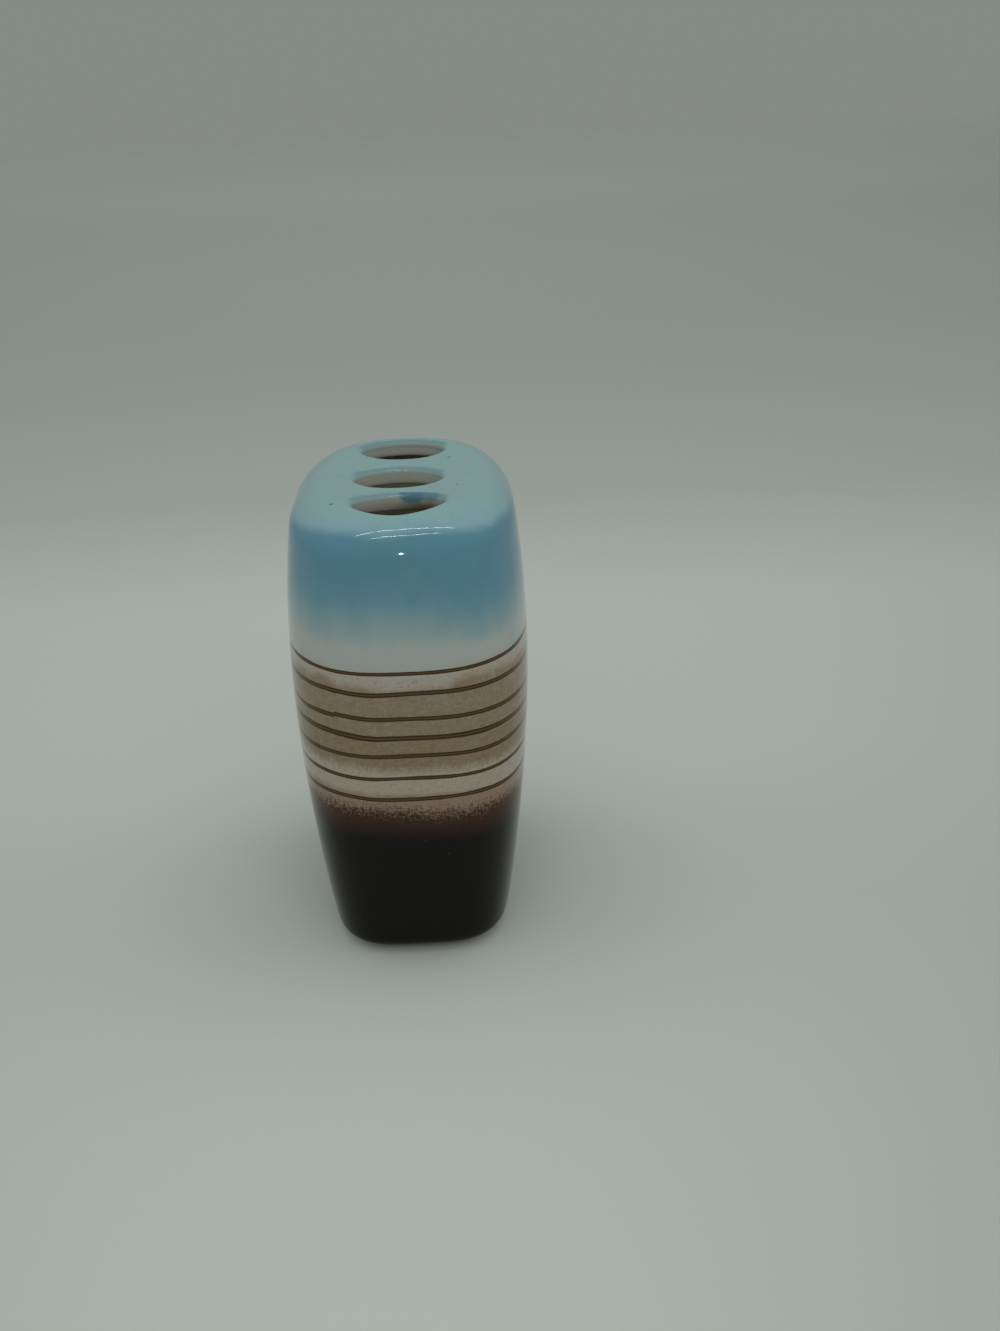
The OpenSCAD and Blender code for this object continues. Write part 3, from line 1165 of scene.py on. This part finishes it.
class HOLDER_OT_pads(bpy.types.Operator):
    """Models one self-adhesive pad and copies it under each corner of the foot"""

    bl_idname = "holder.pads"
    bl_label = "Foot Pads"
    bl_options = {"REGISTER", "UNDO"}

    def execute(self, context):
        tints = context.scene.holder_rubber
        nodes = ("pad_front_left", "pad_front_right", "pad_rear_left", "pad_rear_right")
        lowest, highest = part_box(nodes[0])
        first = pad((highest.x - lowest.x) / 2, highest.z - lowest.z)
        first.data.materials.append(rubber("pad_rubber", tints.pad, tints.pad_worn, 0.36))
        pieces = [first] + [copied(first) for _ in nodes[1:]]
        for node, piece in zip(nodes, pieces):
            lowest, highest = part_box(node)
            piece.name = piece.data.name = node + "_rubber"
            take(piece)
            x, y = (lowest.x + highest.x) / 2, (lowest.y + highest.y) / 2
            bpy.ops.transform.translate(value=(x, y, 0))
            settle()
            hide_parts(node)
            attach(piece, "holder")
        return {"FINISHED"}


def copied(piece):
    """A copy of a piece with a mesh of its own."""
    take(piece)
    bpy.ops.object.duplicate(linked=False)
    return bpy.context.object


def pad(radius, thickness):
    """A die-cut pad: flat on top, with a rounded and slightly dished face below."""
    piece = disc("pad", 64, radius, thickness)
    only("FACE", large_face(thickness))
    extrude(-thickness)
    bpy.ops.mesh.bevel(offset=0.5 * thickness, segments=6, affect="EDGES")
    only("FACE", large_face(0))
    inset(0.25 * radius)
    inset(0.15 * radius, 0.12 * thickness)
    finish_piece(piece, 50)
    return piece


# About where the picture's sides meet, in millimetres in front of the holder's middle
CAMERA_BACK = 380
CAMERA_PLACE = (0.0113, -0.3581, 0.1878)
# Turn to the right, tilt down and roll, in degrees
CAMERA_TURNS = (1.595, 20.262, 2.05)
STRIP_WIDTH = 0.026


class HOLDER_OT_stage(bpy.types.Operator):
    """Sets up the pale floor and backdrop, the lamps and the camera"""

    bl_idname = "holder.stage"
    bl_label = "Stage, Light and Camera"
    bl_options = {"REGISTER", "UNDO"}

    def execute(self, context):
        settings = context.scene.holder_stage
        floor_sheet(settings)
        lamps(settings)
        camera(settings)
        return {"FINISHED"}


def floor_sheet(settings):
    """A wide round sheet that is seen from above only."""
    sheet = disc("floor_sheet", 96, settings.floor_reach, 0)
    only("FACE", large_face(0))
    inset(settings.floor_reach * 0.9)
    take()
    paint = Paint("floor_paper")
    x, y = paint.x, paint.y
    # Painted light and shade: the floor is brightest round the holder, darker behind it and lighter
    # again far off
    tint = paint.graded(
        y + paint.noise(0.004, 3) * 50,
        -400,
        3600,
        (220, settings.near),
        (388, settings.middle),
        (660, settings.far),
        (960, settings.far),
        (1500, settings.farther),
        (2800, settings.farthest),
    )
    # Painted shade: the floor darkens towards the sides of the picture, from the holder on
    aside = x / (paint.number("MAXIMUM", y, -160) + CAMERA_BACK) + 0.04
    side_falloff = paint.number("MINIMUM", aside * aside * 1.5, 0.3) * y.rise(-400, -160)
    paint.bump(paint.noise(0.9, 3) * 0.02)
    ground = paint.coats(tint, (side_falloff, settings.painted_side_shade))
    paint.set(Base_Color=ground, Roughness=0.85, Specular_IOR_Level=0.1)
    # It fades out before its edge, sooner at the sides, and is looked through from underneath
    under = paint.node("ShaderNodeNewGeometry", output=6)
    away = ((x * x + y * y) ** 0.5).rise(2500, 8500)
    beside = (abs(x) - (y + CAMERA_BACK) * 0.45).rise(150, 900)
    share = paint.chain("MAXIMUM", (under, away, beside))
    paper = Value(paint, paint.shader.outputs[0])
    clear = paint.node("ShaderNodeBsdfTransparent")
    seen = paint.node("ShaderNodeMixShader", None, {0: share, 1: paper, 2: clear})
    paint.give(paint.tree.nodes["Material Output"].inputs["Surface"], seen)
    sheet.data.materials.append(paint.material)
    return sheet


def lamp(name, place, aim, size, power, mirrored=False):
    """An area lamp turned to a point. It shows in the glaze or lights the scene, and not both."""
    data = bpy.data.lights.new(name, "AREA")
    data.shape = "RECTANGLE"
    data.size, data.size_y = size
    data.energy = power
    made = bpy.data.objects.new(name, data)
    made.location = place
    made.rotation_euler = (Vector(aim) - Vector(place)).to_track_quat("-Z", "Y").to_euler()
    made.visible_glossy = mirrored
    made.visible_diffuse = not mirrored
    bpy.context.scene.collection.objects.link(made)
    return made


def strip(name, start, end, power):
    """A thin strip between two points of one height, facing down, that shows in the glaze."""
    start, end = Vector(start), Vector(end)
    along = end - start
    size = along.length, STRIP_WIDTH
    made = lamp(name, (start + end) / 2, (0, 0, 0), size, power, mirrored=True)
    made.rotation_euler = (0, 0, math.atan2(along.y, along.x))


def lamps(settings):
    """Two strips and a small lamp for the highlights, four soft boxes and an even sky."""
    strip("strip_near", (-0.83, -0.62, 1.5), (0.95, -0.2, 1.5), settings.strip_power)
    strip("strip_far", (-0.57, -1.06, 1.5), (0.70, -0.69, 1.5), settings.strip_power)
    place, aim = (-0.0078, -0.364, 0.1644), (0, -0.04, 0.09)
    lamp("small_lamp", place, aim, (0.001, 0.003), 0.25, mirrored=True)
    soft, belly = settings.soft_power, (0, 0, 0.05)
    lamp("soft_upper", (0, 0.1, 1.8), (0, 0.1, 0), (1.8, 1.8), soft)
    lamp("soft_front", (0.1, -1.3, 0.75), belly, (1.4, 1.0), soft * 0.7)
    lamp("soft_left", (-1.3, 0.25, 0.8), belly, (1.2, 1.0), soft * 0.35)
    lamp("soft_right", (1.3, 0.25, 0.8), belly, (1.2, 1.0), soft * 0.45)
    world = bpy.data.worlds.new("even_light")
    bpy.context.scene.world = world
    air = Nodes(world)
    light = {"Color": (0.97, 1.0, 0.975), "Strength": settings.sky}
    sky = air.node("ShaderNodeBackground", None, light)
    seen = air.node("ShaderNodeBackground", None, {"Color": settings.around})
    # The camera and mirrored rays see the backdrop's colour
    straight, mirrored = (air.node("ShaderNodeLightPath", output=i) for i in (0, 3))
    share = air.number("MAXIMUM", straight, mirrored)
    mixed = air.node("ShaderNodeMixShader", None, {0: share, 1: sky, 2: seen})
    air.give(air.tree.nodes["World Output"].inputs["Surface"], mixed)


def camera(settings):
    """A camera that looks down on the narrow front, slightly rolled."""
    yaw, pitch, roll = (math.radians(turn) for turn in CAMERA_TURNS)
    turn = Matrix.Rotation(-yaw, 4, "Z")
    turn @= Matrix.Rotation(QUARTER - pitch, 4, "X")
    turn @= Matrix.Rotation(-roll, 4, "Z")
    data = bpy.data.cameras.new("camera")
    data.lens = settings.lens
    data.sensor_width = 36
    data.clip_start = 0.01
    made = bpy.data.objects.new("camera", data)
    made.matrix_world = Matrix.Translation(CAMERA_PLACE) @ turn
    scene = bpy.context.scene
    scene.collection.objects.link(made)
    scene.camera = made
    scene.view_settings.view_transform = "Standard"


class HOLDER_PT_panel(bpy.types.Panel):
    """Lists the steps that build the holder"""

    bl_idname = "HOLDER_PT_panel"
    bl_label = "Toothbrush Holder"
    bl_space_type = "VIEW_3D"
    bl_region_type = "UI"
    bl_category = "Holder"

    def draw(self, context):
        for step in STEPS:
            self.layout.operator(step.bl_idname)
        for name, group in GROUPS.items():
            box = self.layout.box()
            box.label(text=group.__doc__)
            for key in group.__annotations__:
                box.prop(getattr(context.scene, name), key)


GROUPS = {
    "holder_body": BodySizes,
    "holder_slots": SlotSizes,
    "holder_stopper": StopperSizes,
    "holder_bands": BandSizes,
    "holder_glazes": GlazeColours,
    "holder_rubber": RubberColours,
    "holder_stage": StageSettings,
}
STEPS = (HOLDER_OT_cast_body, HOLDER_OT_stopper, HOLDER_OT_pads, HOLDER_OT_stage)


def register():
    for group in (*GROUPS.values(), *STEPS, HOLDER_PT_panel):
        bpy.utils.register_class(group)
    for name, group in GROUPS.items():
        setattr(bpy.types.Scene, name, PointerProperty(type=group))


def unregister():
    for name in GROUPS:
        delattr(bpy.types.Scene, name)
    for group in (HOLDER_PT_panel, *STEPS, *GROUPS.values()):
        bpy.utils.unregister_class(group)


def main():
    register()
    bpy.ops.holder.cast_body()
    bpy.ops.holder.stopper()
    bpy.ops.holder.pads()
    bpy.ops.holder.stage()


if __name__ == "__main__":
    main()
